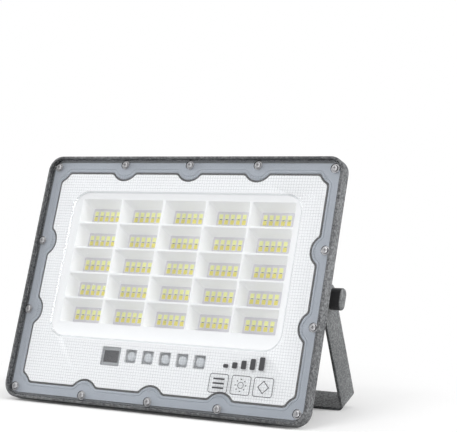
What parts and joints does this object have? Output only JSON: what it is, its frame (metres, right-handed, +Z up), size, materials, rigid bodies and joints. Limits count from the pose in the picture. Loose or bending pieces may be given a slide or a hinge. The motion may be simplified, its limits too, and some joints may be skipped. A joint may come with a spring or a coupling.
{
  "type": "solar flood light",
  "caption": "Flat rectangular LED flood light with square reflector cells behind a clear screwed-down lens, held by a tilting U bracket.",
  "frame": {"origin": "on the ground under the middle of the whole light, at rest on its rim and its bracket's foot", "axes": "+X to the lamp's right along its width and tilt axis, -Y the way the face points, +Z up"},
  "size_m": [0.2902, 0.1162, 0.2071],
  "materials": {
    "housing_grey": "sand-textured powder coat",
    "bracket_grey": "fine powder coat",
    "clear_lens": "clear moulded, ribbed outside the window",
    "seal_grey": "soft satin",
    "white_moulding": "white satin",
    "board_grey": "white-grey solder mask on aluminium",
    "control_grey": "grey solder mask",
    "phosphor_cool": "pale yellow phosphor",
    "phosphor_warm": "orange yellow phosphor",
    "dark_pane": "dark tinted",
    "bezel_grey": "moulded",
    "lamp_clear": "milky clear",
    "black_plastic": "moulded",
    "black_rubber": "matte",
    "pad_grey": "soft matte",
    "cell_blue": "shrink sleeve",
    "holder_black": "moulded",
    "bright_steel": "plated",
    "nylon_white": "moulded"
  },
  "bodies": {
    "bracket": {"bracket": "bracket_grey"},
    "head": {"housing": "housing_grey", "rear_cover": "housing_grey", "lens": "clear_lens", "gasket": "seal_grey", "lens_screws": "bright_steel", "lens_washers": "bright_steel", "reflector": "white_moulding", "led_board": "board_grey", "thermal_pad": "pad_grey", "control_board": "control_grey", "control_spacers": "nylon_white", "board_screws": "bright_steel", "leds_cool": "phosphor_cool", "leds_warm": "phosphor_warm", "sensor_bezel": "bezel_grey", "sensor_pane": "dark_pane", "sensor_receiver": "black_plastic", "indicator_lamps": "lamp_clear", "controller_parts": "black_plastic", "plate_cushion": "black_rubber", "indicator_blocks": "bezel_grey", "battery_cells": "cell_blue", "battery_holder": "holder_black", "battery_links": "bright_steel", "cover_gasket": "black_rubber", "cover_screws": "bright_steel", "gland_body": "black_plastic", "gland_seal": "black_rubber", "gland_nut": "black_plastic", "breather": "black_plastic", "friction_washers": "nylon_white", "pivot_washers": "bright_steel", "lock_washers": "bright_steel", "pivot_studs": "bright_steel", "tilt_knobs": "bracket_grey", "heat_sinks": "housing_grey", "heat_sink_screws": "bright_steel"}
  },
  "joints": [
    {"name": "tilt", "type": "hinge", "parent": "bracket", "child": "head", "pos_m": [0, 0.01046, 0.09374], "axis": [1, 0, 0], "range_deg": [-138, 41]}
  ]
}
